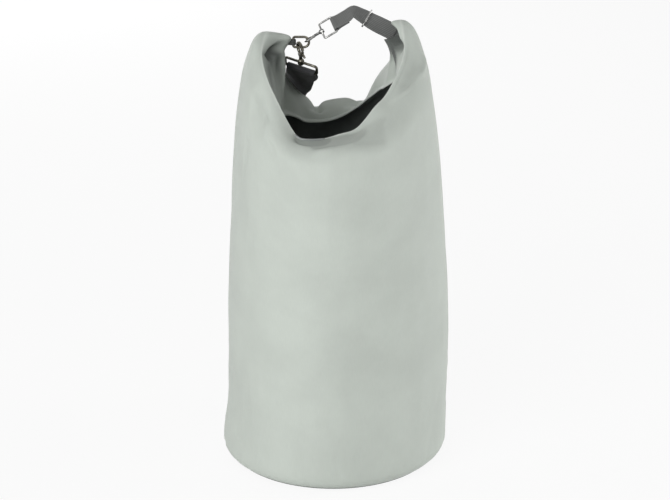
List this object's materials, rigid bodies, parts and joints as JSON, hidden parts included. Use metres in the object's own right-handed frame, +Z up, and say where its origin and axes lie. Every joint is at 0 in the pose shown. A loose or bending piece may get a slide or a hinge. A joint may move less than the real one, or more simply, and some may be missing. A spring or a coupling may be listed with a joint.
{
  "type": "dry bag",
  "caption": "Round-bottomed fabric dry bag standing open, its mouth corners clipped together over the top by webbing and a swivel clasp, with a shoulder strap behind.",
  "frame": {"origin": "centre of the round base, on the floor that the bag stands on", "axes": "+Z up, -Y the front of the bag, +X the side of the mouth where the closure webbing is sewn"},
  "size_m": [0.2801, 0.3238, 0.5712],
  "materials": {
    "coated_fabric": "sage grey coated fabric",
    "seam_tape": "dark sealing tape",
    "stiffener": "flexible strip",
    "webbing": "flat woven webbing",
    "strap_webbing": "flat woven webbing",
    "nickel": "nickel plated",
    "gunmetal": "dark gunmetal plated"
  },
  "bodies": {
    "bag": {"front_panel": "coated_fabric", "back_panel": "coated_fabric", "base_panel": "coated_fabric", "base_seam_tape": "seam_tape", "rear_patch": "coated_fabric", "front_mouth_stiffener": "stiffener", "back_mouth_stiffener": "stiffener", "right_seam_tape": "seam_tape", "left_seam_tape": "seam_tape", "left_tab": "webbing", "rear_tab": "webbing", "closure_webbing": "webbing", "closure_frame": "nickel", "shoulder_strap": "strap_webbing", "upper_clasp_frame": "gunmetal", "lower_clasp_frame": "gunmetal"},
    "left_ring": {"left_ring": "gunmetal"},
    "rear_ring": {"rear_ring": "gunmetal"},
    "closure_hook": {"closure_hook": "nickel", "closure_pin": "nickel"},
    "closure_lever": {"closure_lever": "nickel"},
    "closure_slider": {"closure_slider": "nickel"},
    "upper_clasp_hook": {"upper_clasp_hook": "gunmetal", "upper_clasp_pin": "gunmetal"},
    "upper_clasp_lever": {"upper_clasp_lever": "gunmetal"},
    "lower_clasp_hook": {"lower_clasp_hook": "gunmetal", "lower_clasp_pin": "gunmetal"},
    "lower_clasp_lever": {"lower_clasp_lever": "gunmetal"},
    "strap_adjuster": {"strap_adjuster": "gunmetal"}
  },
  "joints": [
    {"name": "left_ring_swing", "type": "hinge", "parent": "bag", "child": "left_ring", "pos_m": [-0.0475, 0.005, 0.5267], "axis": [0, 0, 1], "range_deg": [-4, 4]},
    {"name": "rear_ring_swing", "type": "hinge", "parent": "bag", "child": "rear_ring", "pos_m": [0, 0.152, 0.098], "axis": [1, 0, 0], "range_deg": [-2, 2]},
    {"name": "closure_swivel", "type": "hinge", "parent": "bag", "child": "closure_hook", "pos_m": [-0.01465, 0.005, 0.53902], "axis": [-0.8553, 0, -0.5182], "range_deg": [-4, 4]},
    {"name": "closure_lever_pivot", "type": "hinge", "parent": "closure_hook", "child": "closure_lever", "pos_m": [-0.02465, 0.0076, 0.53296], "axis": [-0.5182, 0, 0.8553], "range_deg": [0, 16], "stiffness_Nm_per_rad": 0.02, "springref_deg": -20.05},
    {"name": "upper_clasp_swivel", "type": "hinge", "parent": "bag", "child": "upper_clasp_hook", "pos_m": [-0.03867, 0.01378, 0.50149], "axis": [-0.03, -0.42, 0.907], "range_deg": [-6, 6]},
    {"name": "upper_clasp_lever_pivot", "type": "hinge", "parent": "upper_clasp_hook", "child": "upper_clasp_lever", "pos_m": [-0.03746, 0.00563, 0.51099], "axis": [-0.9078, -0.3684, -0.2006], "range_deg": [0, 20], "stiffness_Nm_per_rad": 0.02, "springref_deg": -20.05},
    {"name": "lower_clasp_swivel", "type": "hinge", "parent": "bag", "child": "lower_clasp_hook", "pos_m": [0, 0.152, 0.0611], "axis": [0, 0, 1], "range_deg": [-3, 3]},
    {"name": "lower_clasp_lever_pivot", "type": "hinge", "parent": "lower_clasp_hook", "child": "lower_clasp_lever", "pos_m": [0.00271, 0.1546, 0.07311], "axis": [0.6919, -0.722, 0], "range_deg": [0, 20], "stiffness_Nm_per_rad": 0.02, "springref_deg": -20.05},
    {"name": "closure_slider_slide", "type": "slide", "parent": "bag", "child": "closure_slider", "axis": [0.8583, -0.1197, -0.4991], "range_m": [-0.0018, 0.0018]},
    {"name": "strap_adjuster_slide", "type": "slide", "parent": "bag", "child": "strap_adjuster", "axis": [0.1633, 0.0236, -0.9863], "range_m": [-0.06, 0.06]}
  ]
}
